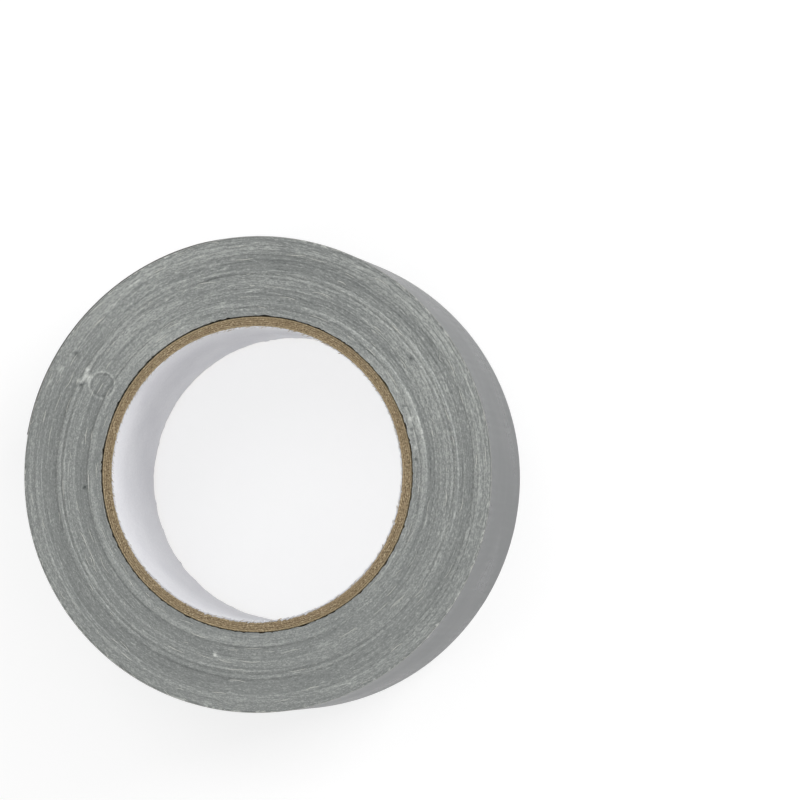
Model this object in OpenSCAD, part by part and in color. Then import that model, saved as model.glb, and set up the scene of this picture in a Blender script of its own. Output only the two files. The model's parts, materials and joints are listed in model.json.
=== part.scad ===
// Roll of silver duct tape on a paperboard core, lying flat on one of its side faces.
// +Z is the axis of the roll, and the origin is the centre of the face that it rests on.
// The tape is a laminate of three layers: rubber adhesive on the inside, scrim cloth, and
// polyethylene film on the outside. Every turn but the last is one solid, wound_tape. The last
// turn is its three layers. Its free end is hinged in three stretches, so that it peels off.

/* [Core] */
// Radius of the bore, half of the 76.2 mm of a 3 inch core
bore_r = 38.1; // [20:0.1:60]
// Thickness of the white paper that lines the bore
liner_t = 0.3; // [0.1:0.05:1]
// Thickness of each of the five plies of core board
ply_t = 0.5; // [0.3:0.05:1]
// Depth of each end of the core below the side face of the tape
core_recess = 0.3; // [0:0.05:2]

/* [Tape] */
// Width of the tape, which is the height of the roll
tape_w = 50; // [12:1:100]
// Length of the tape on the core, in metres
tape_length_m = 50; // [10:1:60]
// Thickness of the rubber adhesive
adhesive_t = 0.05; // [0.03:0.005:0.1]
// Thickness of the scrim cloth
scrim_t = 0.035; // [0.02:0.005:0.08]
// Thickness of the polyethylene film
film_t = 0.05; // [0.03:0.005:0.1]

/* [Side faces] */
// Largest shift of a band of turns along the axis, where the winding wandered
band_shift = 0.2; // [0.05:0.01:0.4]

/* [Free end] */
// Angle round the roll at which the free end leaves it
tail_angle = 98; // [0:1:359]
// Length of each of the three stretches of the free end
stretch_l = 26; // [10:1:40]
// Gap at each hinge line and at the cut end
hinge_gap = 0.2; // [0.1:0.05:0.5]
// Clearance between the free end and the turn that it lies on
tail_clearance = 0.15; // [0.1:0.05:0.5]

/* [Separator disc] */
// Thickness of the plastic sheet under the roll
disc_t = 0.12; // [0.05:0.01:0.5]
// Distance of the rim of the disc inside the outside of the roll
disc_inset = 0.3; // [0:0.1:3]
// Distance of the hole of the disc outside the core
disc_hole_gap = 3; // [0.5:0.5:8]

/* [Hidden] */
$fn = 180;

// Core: liner, then five plies from the inside out
ply_count = 5;
ply_r = bore_r + liner_t;
core_r = ply_r + ply_count * ply_t;

// Tape: the area of the side face is the length of the tape times its thickness
tape_t = adhesive_t + scrim_t + film_t;
roll_r = sqrt(pow(core_r, 2) + 1000 * tape_length_m * tape_t / PI);
wound_r = roll_r - tape_t;

// Bands of turns, from the core outwards: their relative widths, and their shifts along the
// axis as shares of band_shift
band_widths = [2.5, 1.5, 3.4, 2.6, 0.6, 0.6, 1, 4, 1.1, 0.8, 2.7];
band_shifts = [0, 1, -0.6, 0.1, 0.7, -0.4, 0.7, -1, 0, 0.6, 0.2];
band_count = len(band_widths);

// Sum of the first entries of a list
function total(list, count) = count == 0 ? 0 : list[count - 1] + total(list, count - 1);

// Radius of the inner edge of band i, and of the outer edge of the last one at i = band_count
function band_r(i) = core_r
    + (wound_r - core_r) * total(band_widths, i) / total(band_widths, band_count);

// Height of the lower edge of a turn with no shift, with the lowest band on the disc
tape_z = disc_t - band_shift * min(band_shifts);

// Free end: angles of the hinge lines, measured at the outside of the free end
tail_r = roll_r + tail_clearance;
stretch_deg = stretch_l / tail_r * 180 / PI;
gap_deg = hinge_gap / tail_r * 180 / PI;
tail_stretches = 3;
tail_end_angle = tail_angle + tail_stretches * stretch_deg;

// Full ring between two radii and two heights
module ring(inner_r, outer_r, z, height) {
    rotate_extrude()
        translate([inner_r, z])
            square([outer_r - inner_r, height]);
}

// Part of a ring from one angle to another
module arc_strip(inner_r, thickness, from_angle, to_angle) {
    rotate([0, 0, from_angle])
        rotate_extrude(angle = to_angle - from_angle)
            translate([inner_r, tape_z])
                square([thickness, tape_w]);
}

// One layer of the last turn, from the cut end of the free end round to its first hinge line
module last_turn_layer(inner_r, thickness) {
    arc_strip(inner_r, thickness, tail_end_angle + gap_deg / 2, tail_angle + 360 - gap_deg / 2);
}

// One layer of stretch 0, 1 or 2 of the free end, with half a gap at both of its ends
module tail_layer(stretch, inner_r, thickness) {
    start_angle = tail_angle + stretch * stretch_deg;
    arc_strip(inner_r + tail_clearance, thickness,
        start_angle + gap_deg / 2, start_angle + stretch_deg - gap_deg / 2);
}

module core_liner() {
    color("whitesmoke")
        ring(bore_r, ply_r, tape_z + core_recess, tape_w - 2 * core_recess);
}

module core_ply(number) {
    color([0.63, 0.53, 0.38])
        ring(ply_r + (number - 1) * ply_t, ply_r + number * ply_t,
            tape_z + core_recess, tape_w - 2 * core_recess);
}

module wound_tape() {
    lower_edge = [
        for (i = [0 : band_count - 1], k = [0, 1])
            [band_r(i + k), tape_z + band_shift * band_shifts[i]]
    ];
    upper_edge = [
        for (i = [band_count - 1 : -1 : 0], k = [1, 0])
            [band_r(i + k), tape_z + tape_w + band_shift * band_shifts[i]]
    ];
    color([0.58, 0.59, 0.57])
        rotate_extrude()
            polygon(concat(lower_edge, upper_edge));
}

module last_turn_adhesive() {
    color([0.78, 0.78, 0.74])
        last_turn_layer(wound_r, adhesive_t);
}

module last_turn_scrim() {
    color([0.86, 0.86, 0.84])
        last_turn_layer(wound_r + adhesive_t, scrim_t);
}

module last_turn_film() {
    color("silver")
        last_turn_layer(roll_r - film_t, film_t);
}

module tail_adhesive(stretch) {
    color([0.78, 0.78, 0.74])
        tail_layer(stretch, wound_r, adhesive_t);
}

module tail_scrim(stretch) {
    color([0.86, 0.86, 0.84])
        tail_layer(stretch, wound_r + adhesive_t, scrim_t);
}

module tail_film(stretch) {
    color("silver")
        tail_layer(stretch, roll_r - film_t, film_t);
}

module separator_disc() {
    color([0.8, 0.81, 0.81])
        ring(core_r + disc_hole_gap, roll_r - disc_inset, 0, disc_t);
}

core_liner();
core_ply(1);  // core_ply_1
core_ply(2);  // core_ply_2
core_ply(3);  // core_ply_3
core_ply(4);  // core_ply_4
core_ply(5);  // core_ply_5
wound_tape();
last_turn_adhesive();
last_turn_scrim();
last_turn_film();
tail_adhesive(0);  // tail_root_adhesive
tail_scrim(0);  // tail_root_scrim
tail_film(0);  // tail_root_film
tail_adhesive(1);  // tail_middle_adhesive
tail_scrim(1);  // tail_middle_scrim
tail_film(1);  // tail_middle_film
tail_adhesive(2);  // tail_tip_adhesive
tail_scrim(2);  // tail_tip_scrim
tail_film(2);  // tail_tip_film
separator_disc();
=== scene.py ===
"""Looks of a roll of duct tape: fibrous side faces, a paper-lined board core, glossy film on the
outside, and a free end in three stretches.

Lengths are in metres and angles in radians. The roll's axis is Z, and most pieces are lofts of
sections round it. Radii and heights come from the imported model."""

import json
import math

import bpy
import numpy as np
from mathutils import Matrix, Vector


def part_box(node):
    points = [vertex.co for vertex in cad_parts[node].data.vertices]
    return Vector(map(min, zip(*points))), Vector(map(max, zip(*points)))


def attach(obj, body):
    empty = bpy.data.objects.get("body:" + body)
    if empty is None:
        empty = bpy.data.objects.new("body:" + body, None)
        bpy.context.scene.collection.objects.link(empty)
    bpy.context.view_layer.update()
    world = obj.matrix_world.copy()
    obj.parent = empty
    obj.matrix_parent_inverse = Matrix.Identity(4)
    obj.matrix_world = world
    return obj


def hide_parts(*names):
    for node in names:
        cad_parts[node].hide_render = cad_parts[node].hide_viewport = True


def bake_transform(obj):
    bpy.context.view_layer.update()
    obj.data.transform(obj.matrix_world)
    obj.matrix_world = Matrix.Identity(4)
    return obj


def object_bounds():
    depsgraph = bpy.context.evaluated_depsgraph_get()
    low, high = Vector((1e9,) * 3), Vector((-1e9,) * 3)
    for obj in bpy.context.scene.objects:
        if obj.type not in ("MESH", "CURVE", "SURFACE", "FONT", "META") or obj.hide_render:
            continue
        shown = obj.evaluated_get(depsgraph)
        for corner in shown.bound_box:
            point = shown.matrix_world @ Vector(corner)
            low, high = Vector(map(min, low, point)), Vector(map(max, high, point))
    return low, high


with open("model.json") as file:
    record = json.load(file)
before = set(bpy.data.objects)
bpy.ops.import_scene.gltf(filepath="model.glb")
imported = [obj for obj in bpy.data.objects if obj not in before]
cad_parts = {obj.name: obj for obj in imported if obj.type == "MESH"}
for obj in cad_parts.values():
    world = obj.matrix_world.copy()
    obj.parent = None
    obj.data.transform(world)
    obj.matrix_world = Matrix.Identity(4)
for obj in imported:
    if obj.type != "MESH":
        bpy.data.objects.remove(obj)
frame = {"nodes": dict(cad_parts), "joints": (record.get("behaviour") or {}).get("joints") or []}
cad_low, cad_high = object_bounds()

MM = 0.001
TURN = 2 * math.pi

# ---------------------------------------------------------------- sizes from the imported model


def corners(node):
    """The CAD node's vertices, as an array."""
    mesh = frame["nodes"][node].data
    co = np.zeros(len(mesh.vertices) * 3, np.float32)
    mesh.vertices.foreach_get("co", co)
    return co.reshape(-1, 3).astype(float)


def radii(node):
    """The CAD node's smallest and largest distance from the roll's axis."""
    co = corners(node)
    r = np.hypot(co[:, 0], co[:, 1])
    return r.min(), r.max()


def heights(node):
    """The CAD node's lowest and highest z."""
    low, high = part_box(node)
    return low.z, high.z


def bands():
    """Inner radius, outer radius, lowest z and highest z of each band of turns of wound_tape. Bands
    side by side differ in height, so a band's own heights are those that both its edges have and
    the band before it doesn't."""
    co = corners("wound_tape")
    r = np.hypot(co[:, 0], co[:, 1])
    steps = np.sort(r)
    edges = steps[np.append(True, np.diff(steps) > 0.05 * MM)]
    levels = [set(co[np.abs(r - edge) < 0.05 * MM, 2].round(5)) for edge in edges]
    found, own = [], []
    for k in range(len(edges) - 1):
        own = sorted((levels[k] & levels[k + 1]).difference(own))
        found.append((edges[k], edges[k + 1], *own))
    return found


PLIES = [f"core_ply_{k}" for k in range(1, 6)]
STRETCHES = ["tail_root", "tail_middle", "tail_tip"]
BANDS = bands()
bore_r, liner_r = radii("core_liner")
core_low, core_high = heights("core_liner")
core_r = radii(PLIES[-1])[1]
wound_r, roll_r = radii("last_turn_adhesive")[0], radii("last_turn_film")[1]
tape_low, tape_high = heights("last_turn_film")
tape_t = roll_r - wound_r
film_t = roll_r - radii("last_turn_film")[0]
adhesive_t = radii("last_turn_adhesive")[1] - wound_r

WARP = 1.45 * MM  # pitch of the yarns that run along the tape
WEFT = 2.4 * MM  # pitch of the yarns that run across it

# Each stretch of the free end starts at its joint's hinge line.
hinges = [Vector(joint["pos_m"]) for joint in frame["joints"]]
hinge_angles = [math.atan2(hinge.y, hinge.x) for hinge in hinges]
tail_start = hinge_angles[0]
stretch_angle = hinge_angles[1] - hinge_angles[0]

# ---------------------------------------------------------------- random fields and meshes


def noise_at(seed, u, v, size=(211, 197)):
    """Smooth random heights from -1 to 1 at the places u, v on a grid of knots of this size, which
    repeats. A pattern that goes round the roll uses a whole number of grids."""
    knots = np.random.default_rng(seed).uniform(-1, 1, size)
    u, v = np.broadcast_arrays(u, v)
    i, j = np.floor(u).astype(int), np.floor(v).astype(int)
    s, t = u - i, v - j
    s, t = s * s * (3 - 2 * s), t * t * (3 - 2 * t)
    i, i2, j, j2 = i % size[0], (i + 1) % size[0], j % size[1], (j + 1) % size[1]
    near = knots[i, j] * (1 - t) + knots[i, j2] * t
    far = knots[i2, j] * (1 - t) + knots[i2, j2] * t
    return near * (1 - s) + far * s


def ring_noise(seed, angle, knots, across=0.0):
    """Smooth random heights from -1 to 1 with this many knots round the roll."""
    return noise_at(seed, across, angle / TURN * knots, (41, knots))


def polar(r, angle, z):
    """Points from radius, angle and height, each of which may be an array."""
    r, angle, z = np.broadcast_arrays(r, angle, z)
    return np.stack([r * np.cos(angle), r * np.sin(angle), z], -1)


def make_object(name, points, quads, material, smooth=40):
    """A mesh object. Edges sharper than smooth, in degrees, are shaded as edges."""
    mesh = bpy.data.meshes.new(name)
    mesh.vertices.add(len(points))
    mesh.vertices.foreach_set("co", points.astype(np.float32).ravel())
    mesh.loops.add(quads.size)
    mesh.loops.foreach_set("vertex_index", quads.astype(np.int32).ravel())
    mesh.polygons.add(len(quads))
    mesh.polygons.foreach_set("loop_start", np.arange(0, quads.size, 4, dtype=np.int32))
    mesh.update(calc_edges=True)
    mesh.shade_smooth()
    mesh.set_sharp_from_angle(angle=math.radians(smooth))
    mesh.materials.append(material)
    piece = bpy.data.objects.new(name, mesh)
    bpy.context.scene.collection.objects.link(piece)
    return piece


def loft_quads(stations, loop, closed):
    """Quads of a loft whose sections are loops, clockwise as seen with the radius to the right and
    z up. An open loft gets caps that join the first half of a loop to its second half."""
    index = np.arange(stations * loop).reshape(stations, loop)
    here = index if closed else index[:-1]
    ahead = np.roll(index, -1, 0) if closed else index[1:]
    sides = np.stack([here, np.roll(here, -1, 1), np.roll(ahead, -1, 1), ahead], -1)
    quads = [sides.reshape(-1, 4)]
    if not closed:
        half = loop // 2
        for row, step in ((0, -1), (-1, 1)):
            near, far = index[row, :half], index[row, ::-1][:half]
            cap = np.stack([near[:-1], near[1:], far[1:], far[:-1]], -1)
            quads.append(cap[:, ::step])
    return np.concatenate(quads)


def loft(name, sections, material, closed=True, smooth=40):
    """A piece from sections[station, place in the loop, xyz]."""
    quads = loft_quads(*sections.shape[:2], closed)
    return make_object(name, sections.reshape(-1, 3), quads, material, smooth)


def on_roll(piece, slot, *nodes):
    """The piece is part of the roll's own body and stands for these CAD nodes."""
    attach(piece, "roll")
    if nodes:
        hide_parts(*nodes)
    return piece


def strands(name, starts, ends, bows, widths, material, stations=7, flat=0.5):
    """Thin threads as one piece. starts and ends are (radius, angle, z), bows is how far the middle
    of each stands off the straight line, as (radius, z), and flat is height over width."""
    t = np.linspace(0, 1, stations)[None, :, None]
    arch = 4 * t * (1 - t)
    path = starts[:, None] * (1 - t) + ends[:, None] * t
    path[:, :, [0, 2]] += arch * bows[:, None]
    taper = (0.35 + 0.65 * arch[:, :, 0] ** 0.5) * widths[:, None] / 2
    r, angle, z = np.moveaxis(path, 2, 0)
    out, up = (1, 0, -1, 0), (0, flat, 0, -flat)
    loops = [polar(r + taper * a, angle, z + taper * b) for a, b in zip(out, up)]
    # A loft runs clockwise only where the angle grows, so the threads are made to run that way.
    sections = np.stack([loops[3], loops[2], loops[1], loops[0]], 2)
    quads = loft_quads(stations, 4, False)
    steps = np.arange(len(starts))[:, None, None] * stations * 4
    return make_object(
        name, sections.reshape(-1, 3), (quads[None] + steps).reshape(-1, 4), material, 80
    )


# ---------------------------------------------------------------- materials


def srgb(*levels):
    """A linear colour from display levels of 0 to 255."""
    return (*[((c / 255 + 0.055) / 1.055) ** 2.4 for c in levels], 1.0)


class Graph:
    """The nodes of one material, wired by short calls. An input is a number, a colour or a socket."""

    def __init__(self, name):
        self.material = bpy.data.materials.new(name)
        self.material.use_nodes = True
        self.nodes = self.material.node_tree.nodes
        self.links = self.material.node_tree.links
        self.shader = self.nodes["Principled BSDF"]

    def put(self, socket, value):
        if isinstance(value, bpy.types.NodeSocket):
            self.links.new(value, socket)
        else:
            socket.default_value = value

    def node(self, kind, inputs=(), **settings):
        made = self.nodes.new(kind)
        for key, value in settings.items():
            setattr(made, key, value)
        for key, value in dict(inputs).items():
            self.put(made.inputs[key], value)
        return made

    def math(self, operation, a, b=0.0, c=0.0):
        made = self.node("ShaderNodeMath", operation=operation)
        for socket, value in zip(made.inputs, (a, b, c)):
            self.put(socket, value)
        return made.outputs[0]

    def vector(self, x, y, z):
        return self.node("ShaderNodeCombineXYZ", {"X": x, "Y": y, "Z": z}).outputs[0]

    def noise(self, vector, scale=1.0, detail=2.0, roughness=0.5, distortion=0.0):
        inputs = {"Vector": vector, "Scale": scale, "Detail": detail}
        inputs |= {"Roughness": roughness, "Distortion": distortion}
        return self.node("ShaderNodeTexNoise", inputs).outputs["Fac"]

    def span(self, value, low, high, to_low=0.0, to_high=1.0):
        """The value mapped from low..high to to_low..to_high, and held there outside."""
        made = self.node("ShaderNodeMapRange", clamp=True)
        for socket, number in zip(made.inputs, (value, low, high, to_low, to_high)):
            self.put(socket, number)
        return made.outputs[0]

    def mix(self, factor, a, b, blend_type="MIX"):
        made = self.node("ShaderNodeMix", data_type="RGBA", blend_type=blend_type)
        self.put(made.inputs["Factor"], factor)
        self.put(made.inputs[6], a)
        self.put(made.inputs[7], b)
        return made.outputs[2]

    def position(self):
        return self.node("ShaderNodeTexCoord").outputs["Object"]

    def round_axis(self):
        """Cosine and sine of the angle round the roll, the radius and the height."""
        parts = self.node("ShaderNodeSeparateXYZ", {0: self.position()}).outputs
        x, y, z = parts[0], parts[1], parts[2]
        square = self.math("ADD", self.math("MULTIPLY", x, x), self.math("MULTIPLY", y, y))
        r = self.math("SQRT", square)
        return self.math("DIVIDE", x, r), self.math("DIVIDE", y, r), r, z

    def streaks(self, axis, along, across, warp=0.0, **noise):
        """Noise drawn out round the roll: along features in a radian, across in a metre of radius.
        warp is how far, in metres, the streaks wander from a circle."""
        cosine, sine, r, _ = axis
        u, v = self.math("MULTIPLY", cosine, along), self.math("MULTIPLY", sine, along)
        if warp:
            bend = self.noise(self.vector(u, v, self.math("MULTIPLY", r, 250)), detail=1.0)
            r = self.math("MULTIPLY_ADD", bend, warp, r)
        return self.noise(self.vector(u, v, self.math("MULTIPLY", r, across)), **noise)

    def finish(self, colour, roughness, height=None, depth=0.0, **sockets):
        """Wires the shader. height is a 0 to 1 field and depth its size in metres."""
        self.put(self.shader.inputs["Base Color"], colour)
        self.put(self.shader.inputs["Roughness"], roughness)
        for key, value in sockets.items():
            self.put(self.shader.inputs[key.replace("_", " ")], value)
        if height is not None:
            bump = self.node("ShaderNodeBump", {"Height": height, "Distance": depth})
            self.put(self.shader.inputs["Normal"], bump.outputs[0])
        return self.material


def side_face_material():
    """The cut edges of the turns: grey film, pale yarn ends and strings of adhesive. The mesh gives
    a shade at each vertex, which also holds painted shade in the hollows and a painted sheen in two
    sectors, and fine streaks are added to it."""
    g = Graph("tape_edges")
    axis = g.round_axis()
    shade = g.node("ShaderNodeAttribute", attribute_name="shade").outputs["Fac"]
    fine = g.streaks(axis, 70, 3600, warp=0.0004, detail=2.0, roughness=0.6)
    grit = g.noise(g.position(), scale=3500, detail=2.0)
    shade = g.math("MULTIPLY_ADD", g.math("SUBTRACT", fine, 0.5), 0.65, shade)
    shade = g.math("MULTIPLY_ADD", g.math("SUBTRACT", grit, 0.5), 0.4, shade)
    body = g.mix(g.span(shade, 0.0, 0.5), srgb(84, 88, 87), srgb(137, 140, 138))
    body = g.mix(g.span(shade, 0.5, 1.0), body, srgb(206, 209, 204))
    height = g.math("MULTIPLY_ADD", grit, 0.4, fine)
    rough = g.span(shade, 0.2, 0.8, 0.6, 0.38)
    return g.finish(body, rough, height, 0.00004, Specular_IOR_Level=0.35)


LOOSE_BOARD = len(PLIES) + 1  # number of the board material of the torn fibres


def board_material(number):
    """Brown core board: short fibres round the ring, pale and dark flecks. The innermost and the
    outermost ply and the torn fibres are paler."""
    g = Graph(f"core_board_{number}")
    axis = g.round_axis()
    grain = g.streaks(axis, 70, 3600, warp=0.0004, detail=3.0, roughness=0.7)
    flecks = g.noise(g.position(), scale=2000, detail=2.0, roughness=0.6)
    cloud = g.noise(g.position(), scale=90, detail=2.0)
    base = g.mix(g.span(grain, 0.32, 0.68), srgb(118, 101, 77), srgb(182, 163, 132))
    base = g.mix(g.span(flecks, 0.56, 0.68, 0.0, 0.8), base, srgb(216, 200, 168))
    base = g.mix(g.span(flecks, 0.44, 0.32, 0.0, 0.75), base, srgb(78, 64, 46))
    base = g.mix(g.span(cloud, 0.35, 0.7, 0.0, 0.35), base, srgb(140, 122, 94))
    if number in (1, len(PLIES), LOOSE_BOARD):
        base = g.mix(0.25, base, srgb(184, 168, 136))
    height = g.math("ADD", g.math("MULTIPLY", grain, 0.5), g.math("MULTIPLY", flecks, 0.5))
    return g.finish(base, 0.9, height, 0.00012, Specular_IOR_Level=0.2)


def paper_material():
    """White lining paper with a satin finish, faint fibres and a few scuffs."""
    g = Graph("white_paper")
    position = g.position()
    fibres = g.noise(position, scale=1500, detail=4.0, roughness=0.65, distortion=1.5)
    cloud = g.noise(position, scale=70, detail=3.0)
    stretched = g.node("ShaderNodeMapping", {0: position, "Scale": (1.0, 1.0, 0.25)}).outputs[0]
    scuffs = g.noise(stretched, scale=260, detail=2.0, distortion=0.6)
    base = g.mix(g.span(fibres, 0.35, 0.65), srgb(207, 207, 211), srgb(220, 220, 223))
    base = g.mix(g.span(cloud, 0.4, 0.75, 0.0, 0.3), base, srgb(198, 198, 204))
    base = g.mix(g.span(scuffs, 0.74, 0.8, 0.0, 0.35), base, srgb(160, 160, 164))
    rough = g.span(cloud, 0.3, 0.7, 0.42, 0.56)
    return g.finish(base, rough, fibres, 0.00004, Specular_IOR_Level=0.5)


def film_material():
    """Satin silver film with the yarns' grid showing through. It follows the tape's own length and
    width, so that the pattern stays with the free end as it bends."""
    g = Graph("silver_film")
    tape = g.node("ShaderNodeUVMap", uv_map="tape").outputs[0]
    drift = g.noise(tape, scale=45, detail=2.0)
    sway = g.noise(tape, scale=110, detail=1.0)
    strength = g.span(g.noise(tape, scale=75, detail=1.0), 0.35, 0.65, 0.25, 1.0)
    parts = g.node("ShaderNodeSeparateXYZ", {0: tape}).outputs
    along = g.math("MULTIPLY_ADD", sway, 0.0016, parts[0])
    across = g.math("MULTIPLY_ADD", sway, 0.0012, parts[1])
    warps = g.math("SINE", g.math("MULTIPLY", across, TURN / WARP))
    wefts = g.math("SINE", g.math("MULTIPLY", along, TURN / WEFT))
    grid = g.math("MULTIPLY", g.math("MAXIMUM", warps, wefts), strength)
    rolled = g.vector(g.math("MULTIPLY", along, 40), g.math("MULTIPLY", across, 1500), 0.0)
    lines = g.noise(rolled, detail=3.0)
    specks = g.noise(tape, scale=2200, detail=2.0)
    base = g.mix(g.span(drift, 0.3, 0.7), srgb(114, 116, 118), srgb(128, 130, 131))
    base = g.mix(g.span(lines, 0.5, 0.75, 0.0, 0.16), base, srgb(154, 156, 156))
    base = g.mix(g.span(grid, 0.2, 1.0, 0.0, 0.22), base, srgb(149, 151, 151))
    base = g.mix(g.span(specks, 0.62, 0.75, 0.0, 0.3), base, srgb(101, 103, 103))
    rough = g.span(drift, 0.3, 0.7, 0.24, 0.36)
    height = g.math("MULTIPLY_ADD", grid, 0.5, g.math("MULTIPLY", specks, 0.15))
    tint = (0.55, 0.55, 0.55, 1.0)
    return g.finish(base, rough, height, 0.00004, Metallic=0.8, Specular_Tint=tint)


def adhesive_material():
    """Pale grey, tacky rubber, a little uneven."""
    g = Graph("adhesive")
    tape = g.node("ShaderNodeUVMap", uv_map="tape").outputs[0]
    clots = g.noise(tape, scale=900, detail=3.0, roughness=0.6)
    cloud = g.noise(tape, scale=90, detail=2.0)
    base = g.mix(g.span(clots, 0.35, 0.65), srgb(188, 188, 182), srgb(206, 206, 200))
    base = g.mix(g.span(cloud, 0.35, 0.7, 0.0, 0.4), base, srgb(178, 179, 174))
    return g.finish(base, g.span(clots, 0.3, 0.7, 0.3, 0.5), clots, 0.00003)


def thread_material():
    """Pale cotton and polyester yarn."""
    g = Graph("scrim_yarn")
    twist = g.noise(g.position(), scale=3000, detail=2.0)
    base = g.mix(g.span(twist, 0.35, 0.65), srgb(196, 196, 188), srgb(226, 226, 220))
    return g.finish(base, 0.7, twist, 0.00002)


def separator_material():
    """Smooth, milky plastic sheet with faint scratches in all directions."""
    g = Graph("separator_film")
    position = g.position()
    swirl = g.noise(position, scale=160, detail=5.0, roughness=0.7, distortion=2.5)
    cloud = g.noise(position, scale=35, detail=2.0)
    base = g.mix(g.span(cloud, 0.3, 0.7), srgb(190, 192, 191), srgb(204, 206, 205))
    base = g.mix(g.span(swirl, 0.6, 0.7, 0.0, 0.3), base, srgb(218, 220, 219))
    return g.finish(base, g.span(swirl, 0.3, 0.7, 0.3, 0.45), swirl, 0.00002)


side_face = side_face_material()
film = film_material()
adhesive = adhesive_material()
yarn = thread_material()
paper = paper_material()

# ---------------------------------------------------------------- core

PLY_STEPS = 1600  # round the core
LINER_STEPS = 840


def core_ply(number):
    """One ply of core board. Its cut ends are rough, with a small step to the next ply."""
    node = PLIES[number - 1]
    inner, outer = radii(node)
    low, high = heights(node)
    angle = np.arange(PLY_STEPS) / PLY_STEPS * TURN
    r = np.linspace(inner, outer, 5)[:, None]
    across = r / (0.16 * MM)
    rounding = np.array([-0.11, 0.0, 0.02, 0.0, -0.11])[:, None] * MM

    def end(seed):
        lie = 0.05 * MM * ring_noise(seed, angle, 14)
        tufts = 0.08 * MM * ring_noise(seed + 1, angle, 700, across)
        return lie + tufts + rounding

    top = polar(r, angle, high + end(10 * number))
    bottom = polar(r, angle, low - end(10 * number + 5))
    sections = np.concatenate([top, bottom[::-1]]).swapaxes(0, 1)
    piece = loft(f"board_ply_{number}", sections, board_material(number), smooth=70)
    return on_roll(piece, "core_board", node)


def liner():
    """The white paper that lines the bore, wound along a helix, so that its butt seam runs across
    the wall at a slant. Its cut edges are ragged."""
    seam_start, seam_sweep = math.radians(-115), math.radians(140)
    groove = np.array([-0.5, -0.18, -0.06, 0.06, 0.18, 0.5]) * MM / bore_r
    u = np.unique(np.concatenate([np.linspace(0.01, TURN - 0.01, LINER_STEPS), groove % TURN]))
    # The rows lie closer together near the cut edges.
    share = np.concatenate([[1, 0.994, 0.985], np.linspace(0.97, 0.03, 50), [0.015, 0.006, 0]])
    share = share[:, None]
    angle = seam_start + u + seam_sweep * share
    from_seam = np.minimum(u, TURN - u) * bore_r
    seam = 0.16 * MM * np.exp(-((from_seam / (0.09 * MM)) ** 2))
    seam -= 0.05 * MM * np.exp(-((from_seam / (0.6 * MM)) ** 2))
    at_edge = np.maximum(share, 1 - share) ** 120
    ragged = 0.14 * MM * ring_noise(4, angle, 520) + 0.1 * MM * ring_noise(5, angle, 110)
    z = core_low + (core_high - core_low) * share + ragged * at_edge
    burr = 0.3 * MM * ring_noise(8, angle, 150) * np.abs(ring_noise(9, angle, 420)) * at_edge
    wave = 0.05 * MM * ring_noise(3, angle, 16, 4 * share)
    inside = polar(bore_r + wave + seam - burr, angle, z)
    outside = polar(liner_r, angle, z)
    sections = np.concatenate([outside, inside[::-1]]).swapaxes(0, 1)
    return on_roll(loft("liner_paper", sections, paper), "white_paper", "core_liner")


for ply in range(1, len(PLIES) + 1):
    core_ply(ply)
liner()

# ---------------------------------------------------------------- side faces

FACE_STEPS = 1400  # round the roll
TURNS = round((wound_r - core_r) / tape_t)
face_angle = np.arange(FACE_STEPS) / FACE_STEPS * TURN
face_r = np.linspace(core_r, wound_r, TURNS + 1)[:, None]
ARC = TURN * 51 * MM  # length of one turn near the middle of the face
CORE_GAP_TURNS = 12  # over which the gap to the core and the spiral's rise fade out


def strokes(seed, width, length, r, angle, climb=0):
    """Random heights drawn out round the roll, in strokes of this width and length. climb is how
    many stroke widths they gain in a turn, which slants them."""
    around = round(ARC / length)
    wander = ring_noise(seed + 1, angle, round(ARC / (5 * MM)), r / (1.6 * MM))
    sway = (0.2 + 0.3 * near(angle, 90, 50)) * MM
    u = (r + sway * wander) / width + climb * angle / TURN
    return noise_at(seed, u, angle / TURN * around, (abs(climb) or 211, around))


def crest(noise, sharpness):
    """Thin lines from 0 to 1 along the places where the noise is nil."""
    return (1 - np.abs(noise)) ** sharpness


def near(angle, degrees, spread):
    """1 at this angle, falling off smoothly over the spread, in degrees."""
    off = (angle - math.radians(degrees) + math.pi) % TURN - math.pi
    return np.exp(-((np.degrees(off) / spread) ** 2))


def woven(angle):
    """How much the weave shows, from 0 to 1: most at the top and right, least at the lower left."""
    return np.clip(0.3 + 0.8 * near(angle, 85, 55) + 0.55 * near(angle, 0, 40), 0, 1)


def face_profile(r, place):
    """Height of the face at radius r from the bands, with their steps rounded over 0.3 mm. place is
    2 for the lower face and 3 for the upper one."""
    fine = np.linspace(-0.15, 0.15, 7) * MM
    edges = [band[1] for band in BANDS[:-1]]
    level = np.array([band[place] for band in BANDS])
    return level[np.searchsorted(edges, r[..., None] + fine)].mean(-1)


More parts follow.
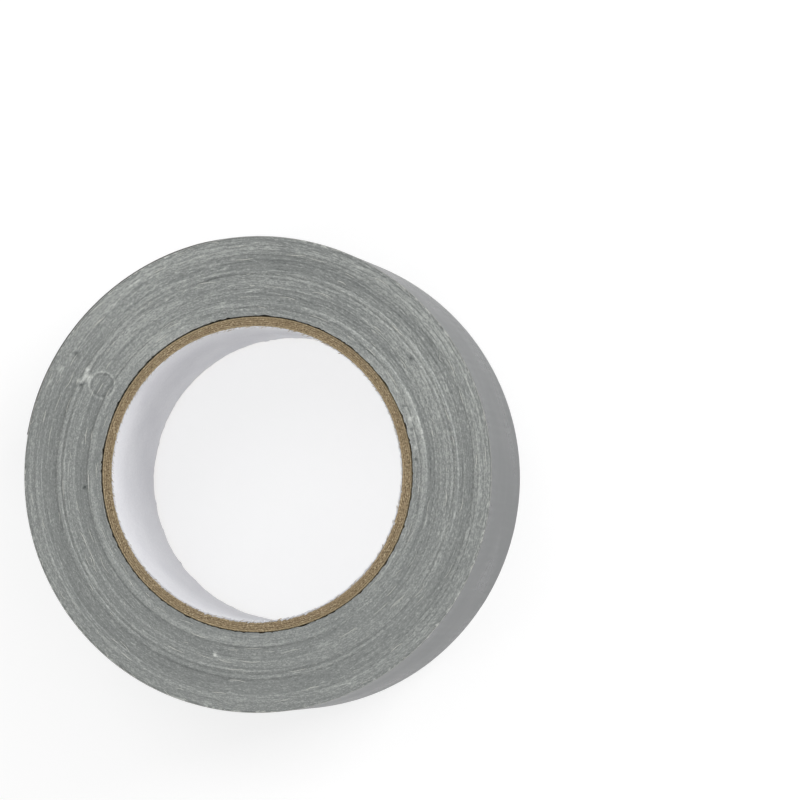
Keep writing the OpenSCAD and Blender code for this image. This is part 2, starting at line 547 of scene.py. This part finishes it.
def marks(r, angle):
    """Height and shade of the marks on the upper face: a ring about 6 mm across pressed into it,
    with scuffs beside it, and some small pits and pale spots. The ring's groove and the pits are
    sunk and painted darker, as painted shade; the lip and the pale spots are raised."""
    x, y = r * np.cos(angle), r * np.sin(angle)

    def spot(at_r, at_angle, size):
        at = math.radians(at_angle)
        off = np.hypot(x - at_r * MM * math.cos(at), y - at_r * MM * math.sin(at))
        return off, np.exp(-((off / (size * MM)) ** 2))

    rough = 0.5 + 0.5 * noise_at(31, x / (0.5 * MM), y / (0.5 * MM))
    off, _ = spot(47.2, 150.3, 1)
    rim = np.exp(-(((off - 2.9 * MM) / (0.3 * MM)) ** 2))
    lip = np.exp(-(((off - 3.45 * MM) / (0.25 * MM)) ** 2))
    # The groove is sunk and painted darker, which is painted shade; the lip is raised and paler.
    height = MM * (-0.14 * rim + 0.12 * lip * rough)
    shade = -0.2 * rim * rough + 0.45 * lip * rough
    # Radius in mm, angle in degrees, size in mm and shade of each small mark.
    for at_r, at_angle, size, tone in (
        (51.6, 150.6, 0.9, 0.5),
        (52.7, 148.6, 0.6, 0.45),
        (53.3, 152.6, 0.7, 0.4),
        (52.3, 153.2, 0.5, -0.45),
        (58.9, 152.0, 0.9, 0.2),
        (57.4, 146.5, 0.7, -0.3),
        (47.9, 257.0, 0.5, 0.6),
        (45.7, 184.0, 0.5, -0.6),
        (50.3, 36.0, 0.6, -0.5),
        (42.6, 24.0, 0.5, -0.4),
        (43.0, 19.0, 0.6, 0.5),
        (42.5, 15.5, 0.4, -0.35),
        (42.2, 9.0, 0.5, 0.4),
        (42.0, 5.0, 0.4, -0.4),
    ):
        _, blot = spot(at_r, at_angle, size)
        # A dark mark is sunk and a pale one raised: the darkening of the pits is painted shade.
        height += 0.2 * tone * MM * blot
        shade += tone * blot * (0.5 + rough)
    return height, shade


def face_relief(seed, r, angle):
    """Height in metres and shade of the cut turns, where a shade of 0.5 is plain: long thin lines,
    short strokes of film and adhesive, pale threads that stand out of them, and gaps and folds
    between them. The shade follows the height. Sunk places are painted darker, as painted shade
    in the gaps, folds and hollows. Raised ones are paler, partly the yarn's own colour and partly
    painted light. A painted sheen also makes the face paler near 125 and 30 degrees."""
    weave = woven(angle)
    turn = (r - core_r) / tape_t
    each = ring_noise(seed + 5, angle, 7, turn) + 0.7 * noise_at(seed + 6, turn, 0.0)
    lines = strokes(seed, 0.34 * MM, 18 * MM, r, angle)
    main = strokes(seed + 10, 0.28 * MM, 1.0 * MM, r, angle)
    fine = strokes(seed + 20, 0.18 * MM, 0.6 * MM, r, angle)
    rising = strokes(seed + 30, 0.26 * MM, 1.1 * MM, r, angle, 300)
    falling = strokes(seed + 40, 0.26 * MM, 1.1 * MM, r, angle, -240)
    slanted = weave * (np.maximum(rising, falling) - 0.25)
    patchy = np.clip(0.35 + 0.9 * ring_noise(seed + 60, angle, 120, r / (0.7 * MM)), 0, 1)
    pale = crest(strokes(seed + 50, 0.7 * MM, 24 * MM, r, angle), 18) * patchy
    dots = np.clip(noise_at(seed + 65, r / (0.3 * MM), angle / TURN * 420, (211, 420)), 0, 1) ** 2
    dashes = crest(strokes(seed + 55, 1.2 * MM, 34 * MM, r, angle), 11) * dots * (0.35 + weave)
    gaps = np.clip(0.35 + 0.9 * ring_noise(seed + 80, angle, 70, r / (0.9 * MM)), 0, 1)
    dark = crest(strokes(seed + 70, 0.9 * MM, 20 * MM, r, angle), 16) * gaps
    folds = crest(strokes(seed + 75, 1.5 * MM, 60 * MM, r, angle), 14)
    folds = folds * (0.25 + 0.7 * weave + 0.6 * near(angle, 65, 35))
    lie = ring_noise(seed + 90, angle, 11, r / (3 * MM))
    strength = 0.35 + 0.5 * weave
    # Height and shade take the same fields with the same signs. The darkening of sunk strokes, gaps
    # and folds is painted shade, and the paler raised ones are partly the yarn's own colour, partly
    # painted light.
    height = 0.03 * lie + strength * (0.025 * lines + 0.025 * main + 0.025 * fine + 0.03 * slanted)
    height += 0.012 * each + 0.04 * pale + 0.05 * dashes - 0.04 * dark - 0.05 * folds
    shade = 0.5 + strength * (0.09 * lines + 0.06 * main + 0.1 * fine + 0.05 * slanted)
    shade += 0.04 * each + 0.24 * pale + 0.3 * dashes - 0.14 * dark - 0.16 * folds
    # Painted sheen: the face is painted paler near 125 and 30 degrees, and a little near 340 degrees,
    # where light catches the fibres.
    shade += 0.1 * near(angle, 125, 24) + 0.08 * near(angle, 30, 22) + 0.02 * near(angle, 340, 60)
    return height * MM, shade


def turn_bands():
    """The wound turns, in one piece for each band, with a ring of vertices for every turn."""
    height, shade = face_relief(100, face_r, face_angle)
    mark_height, mark_shade = marks(face_r, face_angle)
    high = face_profile(face_r, 3)
    lift = (high - tape_high) / (0.2 * MM)
    edge = np.clip((face_r - wound_r + 0.5 * MM) / (0.4 * MM), 0, 1)
    patches = 1.1 + 2 * ring_noise(22, face_angle, 47)
    glint = np.clip(ring_noise(21, face_angle, 430) * patches, 0, 1)
    top_shade = shade + mark_shade + 0.05 * lift + (0.42 * glint - 0.2) * edge
    top_z = high + height + mark_height
    height, low_shade = face_relief(300, face_r, face_angle)
    low_z = face_profile(face_r, 2) + np.abs(height)

    # The tape doesn't quite touch the core on the left side, where a dark gap shows.
    gap = 0.1 + 0.22 * near(face_angle, 140, 70) + 0.3 * ring_noise(9, face_angle, 240) ** 2
    gap += 0.16 * near(face_angle, 345, 45)
    r = face_r + gap * MM * np.clip(1 - (face_r - core_r) / (CORE_GAP_TURNS * tape_t), 0, 1)
    # The outside of the wound turns is a spiral, which gains one thickness at the free end.
    shrink = tape_t * (1 - ((face_angle - tail_start) % TURN) / TURN)
    r = r - shrink * np.clip(1 - (wound_r - face_r) / (CORE_GAP_TURNS * tape_t), 0, 1)

    rows = [round((band[0] - core_r) / tape_t) for band in BANDS] + [TURNS]
    for number, (first, last) in enumerate(zip(rows[:-1], rows[1:]), 1):
        keep = slice(first, last + 1)
        under = np.unique(np.append(np.arange(first, last, 3), last))[::-1]
        top = polar(r[keep], face_angle, top_z[keep])
        bottom = polar(r[under], face_angle, low_z[under])
        sections = np.concatenate([top, bottom]).swapaxes(0, 1)
        piece = loft(f"turns_band_{number}", sections, side_face, smooth=80)
        shades = np.concatenate([top_shade[keep], low_shade[under]]).swapaxes(0, 1)
        attribute = piece.data.attributes.new("shade", "FLOAT", "POINT")
        attribute.data.foreach_set("value", shades.astype(np.float32).ravel())
        on_roll(piece, "tape_edges", "wound_tape")


turn_bands()

# ---------------------------------------------------------------- last turn and free end

SLACK = 0.14 * MM  # keeps the free end clear of the roll where it dips before a hinge
EDGE_LIFT = 0.05 * MM  # of the cut edge
ROOT_BEND = (0.0, 6 * MM)  # where the first stretch is meant to bend, from its hinge; it is not bent here
BEND = (-3 * MM, 9 * MM)  # where the other two are meant to bend; they are not bent here
OVERLAP = 4 * MM  # how far before their hinges those two begin
FILM_ROWS = 140  # across the tape
WARP_WIDTH, WEFT_WIDTH = 0.15 * MM, 0.12 * MM  # of the yarns
YARN_RISE = 0.045 * MM  # half their thickness
YARN_WANDER = 0.06 * MM  # how far they stray from a straight line
YARN_STATIONS = 40


def seat(along):
    """Radius of the tape's inner face, this far round the roll from the free end's first hinge, a
    turn back. The free end lies a little slack, less so near its cut edge, which is lifted."""
    from_start = (along - TURN) * roll_r
    to_edge = (TURN + 3 * stretch_angle - along) * roll_r
    slack = SLACK * np.clip(from_start / (6 * MM), 0, 1)
    slack = slack * (0.3 + 0.7 * np.clip(to_edge / (14 * MM), 0, 1))
    lift = EDGE_LIFT * np.clip(1 - to_edge / (3 * MM), 0, 1) ** 2
    return wound_r - tape_t + tape_t * along / TURN + slack + lift


def grid_relief(along, z, seed):
    """The yarns' print on the film, from 0 to 1, stronger here and weaker there."""
    run = along * roll_r
    sway = 0.25 * WARP * noise_at(seed, run / (14 * MM), z / (9 * MM))
    lean = 0.3 * WEFT * noise_at(seed + 1, run / (9 * MM), z / (12 * MM))
    warps = 0.5 + 0.5 * np.cos(TURN * (z + sway) / WARP)
    wefts = 0.5 + 0.5 * np.cos(TURN * (run + lean) / WEFT)
    strength = 0.55 + 0.45 * noise_at(seed + 2, run / (6 * MM), z / (6 * MM))
    return np.maximum(warps**2, wefts**3) * strength


def sheet(name, start, end, stations, rows, faces, material):
    """A layer of tape between two places along it. faces(along, z) gives how far its inner and outer
    faces stand off the tape's inner face. It carries a UV map named tape, in metres."""
    along = np.linspace(start, end, stations)
    share = np.linspace(0, 1, rows)[:, None]
    ragged = 0.05 * MM * noise_at(71, 0, along * roll_r / (0.9 * MM))
    z = tape_low + (tape_high - tape_low) * share + ragged * (2 * share - 1) ** 31
    inner, outer = faces(along, z)
    angle = tail_start + along
    sections = np.concatenate(
        [
            polar(seat(along) + inner, angle, z),
            polar(seat(along) + outer, angle, z)[::-1],
        ]
    ).swapaxes(0, 1)
    piece = loft(name, sections, material, closed=False, smooth=60)
    run = np.broadcast_to(along * roll_r, z.shape)
    places = np.stack([np.concatenate([run, run]), np.concatenate([z, z[::-1]])], -1)
    places = places.swapaxes(0, 1).reshape(-1, 2)
    index = np.zeros(len(piece.data.loops), np.int32)
    piece.data.loops.foreach_get("vertex_index", index)
    uv = piece.data.uv_layers.new(name="tape")
    uv.data.foreach_set("uv", places[index].astype(np.float32).ravel())
    return piece


def film_faces(seed):
    """Faces of the film: a slack, slightly wavy sheet with the yarns showing through."""

    def faces(along, z):
        run = along * roll_r
        slack = 0.035 * MM * noise_at(seed, run / (22 * MM), z / (30 * MM))
        creases = 0.02 * MM * crest(noise_at(seed + 1, run / (11 * MM), z / (60 * MM)), 8)
        inner = tape_t - film_t + 0 * z
        return inner, tape_t + slack + creases + 0.01 * MM * grid_relief(along, z, seed + 2)

    return faces


def adhesive_faces(along, z):
    """Faces of the adhesive, which the yarns push out a little on the sticky side."""
    run = along * roll_r
    lumps = 0.012 * MM * noise_at(81, run / (1.1 * MM), z / (1.1 * MM))
    return lumps - 0.015 * MM * grid_relief(along, z, 83) + 0.01 * MM, adhesive_t + 0 * z


def scrim_faces(along, z):
    """Faces of the scrim, between the adhesive and the film."""
    return adhesive_t + 0 * z, tape_t - film_t + 0 * z


def last_turn():
    """The tape's outermost turn, its film in four lengths."""
    for quarter in range(4):
        span = (quarter * TURN / 4, (quarter + 1) * TURN / 4)
        piece = sheet(f"outer_turn_film_{quarter + 1}", *span, 260, FILM_ROWS, film_faces(61), film)
        on_roll(piece, "silver_film", "last_turn_film")
    piece = sheet("outer_turn_scrim", 0.0, TURN, 700, 5, scrim_faces, yarn)
    on_roll(piece, "scrim", "last_turn_scrim")
    piece = sheet("outer_turn_adhesive", 0.0, TURN, 700, 12, adhesive_faces, adhesive)
    on_roll(piece, "adhesive", "last_turn_adhesive")


def yarns(name, start, end, seed):
    """The scrim's yarns between two places along the tape, just inside its adhesive."""
    rng = np.random.default_rng(seed)
    depth = 0.4 * adhesive_t
    heights_z = np.arange(tape_low + WARP / 2, tape_high, WARP)
    heights_z = heights_z + rng.uniform(-0.12, 0.12, len(heights_z)) * MM
    crossings = np.arange(math.ceil(start * roll_r / WEFT), math.ceil(end * roll_r / WEFT)) * WEFT
    crossings = crossings / roll_r
    lines = []
    for z in heights_z:
        over = rng.uniform(0.3, 1.6) * MM / roll_r if name == "tip_yarns" else 0.0
        lines.append((start, end + over, z, z))
    for along in crossings:
        lines.append((along + 0.2 * MM / roll_r, along, tape_low, tape_high))
    lines = np.array(lines)
    t = np.linspace(0, 1, YARN_STATIONS)[:, None]
    along = lines[:, 0] * (1 - t) + lines[:, 1] * t
    z = lines[:, 2] * (1 - t) + lines[:, 3] * t
    wander = YARN_WANDER * noise_at(seed + 1, t * 9, np.arange(len(lines)) * 1.7)
    crosswise = lines[:, 0] > lines[:, 1]
    across = np.where(crosswise, 0.0, 1.0)
    half = np.where(crosswise, WEFT_WIDTH, WARP_WIDTH) / 2
    r = seat(along) + depth
    z = z + wander * across
    along = along + wander * (1 - across) / roll_r
    spots = []
    for side, rise in ((0, -1), (-1, 0), (0, 1), (1, 0)):
        spots.append(
            polar(
                r + rise * YARN_RISE,
                tail_start + along + side * (1 - across) * half / roll_r,
                z + side * across * half,
            )
        )
    sections = np.stack(spots, 2).swapaxes(0, 1)
    sections[~crosswise] = sections[~crosswise][:, :, ::-1]
    quads = loft_quads(len(t), 4, False)
    steps = np.arange(len(lines))[:, None, None] * len(t) * 4
    points = sections.reshape(-1, 3)
    return make_object(name, points, (quads[None] + steps).reshape(-1, 4), yarn, 80)


def free_end():
    """The free end in three lengths, one for each hinge."""
    before = [0.0, OVERLAP / roll_r, OVERLAP / roll_r, 0.0]
    for number, body in enumerate(STRETCHES):
        short = body.removeprefix("tail_")
        hinge = TURN + number * stretch_angle
        start, end = hinge - before[number], hinge + stretch_angle - before[number + 1]
        layers = {
            "film": sheet(
                f"{short}_film_sheet", start, end, 120, FILM_ROWS, film_faces(61), film
            ),
            "scrim": yarns(f"{short}_yarns", start, end, 400 + number),
            "adhesive": sheet(
                f"{short}_sticky_layer", start, end, 90, 130, adhesive_faces, adhesive
            ),
        }
        bend = ROOT_BEND if number == 0 else BEND
        ends = [Vector(polar(roll_r, tail_start + hinge + run / roll_r, 0.0)) for run in bend]
        for layer, piece in layers.items():
            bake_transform(piece)
            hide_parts(f"{body}_{layer}")


last_turn()
free_end()

# ---------------------------------------------------------------- loose fibres and separator disc


def face_threads():
    """Loose yarn ends and strings of adhesive on the upper face, and a fringe at its rim."""
    rng = np.random.default_rng(51)
    count = 150
    r = rng.uniform(core_r + 0.8 * MM, wound_r - 0.5 * MM, count)
    angle = rng.uniform(0, TURN, count)
    length = rng.uniform(1.2, 5.5, count) * MM
    sense = rng.choice((-1, 1), count)
    z = face_profile(r, 3) + 0.05 * MM
    starts = np.stack([r, angle, z], -1)
    run = rng.normal(0, 0.25, count) * MM
    ends = np.stack([r + run, angle + length / r, z], -1)
    bows = np.stack([sense * rng.uniform(0, 0.35, count), rng.uniform(0, 0.15, count)], -1) * MM
    width = rng.uniform(0.06, 0.13, count) * MM
    on_roll(strands("loose_threads", starts, ends, bows, width, yarn), "scrim")
    count = 90
    angle = rng.uniform(0, TURN, count)
    starts = np.stack([wound_r - rng.uniform(0.1, 0.9, count) * MM, angle], -1)
    starts = np.column_stack([starts, np.full(count, tape_high + 0.05 * MM)])
    sweep = rng.uniform(0.5, 2.2, count) * MM / roll_r
    under = (angle - tail_start) % TURN < 3 * stretch_angle  # the free end lies on these
    ends_r = roll_r + rng.uniform(-0.3, 0.15, count) * MM - 0.3 * MM * under
    ends_z = tape_high + rng.uniform(-0.1, 0.15, count) * MM
    ends = np.stack([ends_r, angle + sweep, ends_z], -1)
    bows = np.stack([np.zeros(count), rng.uniform(0.02, 0.14, count) * MM], -1)
    width = rng.uniform(0.05, 0.1, count) * MM
    on_roll(strands("rim_threads", starts, ends, bows, width, yarn), "scrim")


def torn_fibres():
    """Torn fibres of board and lining paper that stand over the edge of the bore, and a few flaps
    of paper at the lower side."""
    rng = np.random.default_rng(52)
    # Name, number of fibres, their width in mm, material and slot.
    for name, count, width, material, slot in (
        ("board_fibres", 260, 0.12, board_material(LOOSE_BOARD), "core_board"),
        ("paper_fibres", 200, 0.12, paper, "white_paper"),
        ("paper_flaps", 26, 0.45, paper, "white_paper"),
    ):
        angle = rng.uniform(0, TURN, count)
        if slot == "white_paper":
            angle = np.radians(rng.normal(275, 45, count))
        z = core_high + rng.uniform(-0.05, 0.1, count) * MM
        starts = np.stack([bore_r + rng.uniform(0.15, 0.6, count) * MM, angle, z], -1)
        sweep = rng.uniform(0.3, 1.2, count) * MM / bore_r
        ends_r = bore_r - rng.uniform(-0.1, 0.35, count) * MM
        ends = np.stack([ends_r, angle + sweep, z + rng.uniform(-0.3, 0.2, count) * MM], -1)
        bows = np.stack([np.zeros(count), rng.uniform(0.03, 0.2, count) * MM], -1)
        wide = rng.uniform(0.6, 1.4, count) * width * MM
        on_roll(strands(name, starts, ends, bows, wide, material, flat=0.3), slot)


SEPARATOR_STEPS = 900  # round the roll
SEPARATOR_ROWS = 54  # with 60, the sheet has over 200 000 triangles, and the export thins it


def separator():
    """The sheet that kept this roll from sticking to the next one, cut a little wavy."""
    inner, outer = radii("separator_disc")
    low, high = heights("separator_disc")
    angle = np.arange(SEPARATOR_STEPS) / SEPARATOR_STEPS * TURN
    share = np.linspace(0, 1, SEPARATOR_ROWS)[:, None]
    inner = inner + 0.25 * MM * ring_noise(91, angle, 9)
    outer = outer - 0.25 * MM * np.abs(ring_noise(92, angle, 11))
    r = inner * (1 - share) + outer * share
    ripple = 0.02 * MM * np.abs(ring_noise(93, angle, 60, r / (4 * MM)))
    print_through = 0.25 * (face_profile(r, 2) - tape_low).clip(0, 0.1 * MM)
    top = polar(r, angle, high)
    bottom = polar(r, angle, low + ripple + print_through)
    sections = np.concatenate([top, bottom[::-1]]).swapaxes(0, 1)
    piece = loft("separator_sheet", sections, separator_material())
    on_roll(piece, "separator_film", "separator_disc")


face_threads()
torn_fibres()
separator()

# ---------------------------------------------------------------- stage, light and camera


def floor_material():
    """A plain pale floor that glows a little, so that it stays near white."""
    g = Graph("pale_floor")
    cloud = g.noise(g.position(), scale=3.0, detail=2.0)
    base = g.mix(cloud, (0.44, 0.44, 0.44, 1.0), (0.46, 0.46, 0.46, 1.0))
    return g.finish(base, 0.9, Emission_Color=(1.0, 1.0, 1.0, 1.0), Emission_Strength=0.64)


FLOOR_HALF = 3  # half the floor's side
FLOOR_DROP = 0.0002  # keeps the floor off the roll's lower face

floor_mesh = bpy.data.meshes.new("floor")
floor_corners = [(x * FLOOR_HALF, y * FLOOR_HALF, 0) for x, y in ((-1, -1), (1, -1), (1, 1), (-1, 1))]
floor_mesh.from_pydata(floor_corners, [], [(0, 1, 2, 3)])
floor_mesh.materials.append(floor_material())
floor = bpy.data.objects.new("floor", floor_mesh)
bpy.context.scene.collection.objects.link(floor)
floor.location.z = cad_low.z - FLOOR_DROP


def area_light(name, azimuth, elevation, distance, size, power):
    """A square soft light that faces the roll, from an azimuth and elevation in degrees."""
    data = bpy.data.lights.new(name, "AREA")
    data.size = size
    data.energy = power
    lamp = bpy.data.objects.new(name, data)
    turn, rise = math.radians(azimuth), math.radians(elevation)
    out = Vector(
        (math.cos(turn) * math.cos(rise), math.sin(turn) * math.cos(rise), math.sin(rise))
    )
    lamp.location = distance * out
    lamp.rotation_euler = out.to_track_quat("Z", "Y").to_euler()
    bpy.context.scene.collection.objects.link(lamp)


area_light("key", 33, 20, 1.5, 0.9, 16.0)
area_light("fill", 120, 60, 1.5, 0.6, 2.0)
area_light("left_strip", 205, 12, 1.3, 0.3, 2.5)
area_light("right_strip", -55, 14, 1.3, 0.3, 2.5)


def studio_world():
    """A pale dome, brighter overhead than at the horizon."""
    world = bpy.data.worlds.new("studio")
    world.use_nodes = True
    nodes, links = world.node_tree.nodes, world.node_tree.links
    parts = nodes.new("ShaderNodeSeparateXYZ")
    links.new(nodes.new("ShaderNodeTexCoord").outputs["Generated"], parts.inputs[0])
    level = nodes.new("ShaderNodeMapRange")
    # From the horizon to a height of 0.7, the strength goes from 0.38 to 0.64.
    for socket, number in zip(level.inputs[1:], (0.0, 0.7, 0.38, 0.64)):
        socket.default_value = number
    links.new(parts.outputs["Z"], level.inputs[0])
    links.new(level.outputs[0], nodes["Background"].inputs["Strength"])
    nodes["Background"].inputs["Color"].default_value = (1.0, 1.0, 1.0, 1.0)
    return world


bpy.context.scene.world = studio_world()
bpy.context.scene.view_settings.view_transform = "Standard"

# The camera looks down on the upper face, 10 degrees off the axis, with a long lens. Its offsets
# from the middle of that face set the framing.
CAMERA_RIGHT, CAMERA_UP, CAMERA_BACK = 0.0373, 0.0192, 1.2514
camera_turn, camera_rise = math.radians(75.4), math.radians(80.0)
back = Vector(
    (
        math.sin(camera_turn) * math.cos(camera_rise),
        -math.cos(camera_turn) * math.cos(camera_rise),
        math.sin(camera_rise),
    )
)
right = Vector((0, 1, 0)).cross(back).normalized()
up = back.cross(right)
face_centre = Vector((0, 0, tape_high))
camera_data = bpy.data.cameras.new("camera")
camera_data.lens = 217.4
camera_data.sensor_width = 36.0
camera_data.clip_end = 10.0
camera = bpy.data.objects.new("camera", camera_data)
bpy.context.scene.collection.objects.link(camera)
place = face_centre + CAMERA_RIGHT * right + CAMERA_UP * up + CAMERA_BACK * back
camera.matrix_world = Matrix.Translation(place) @ Matrix((right, up, back)).transposed().to_4x4()
bpy.context.scene.camera = camera
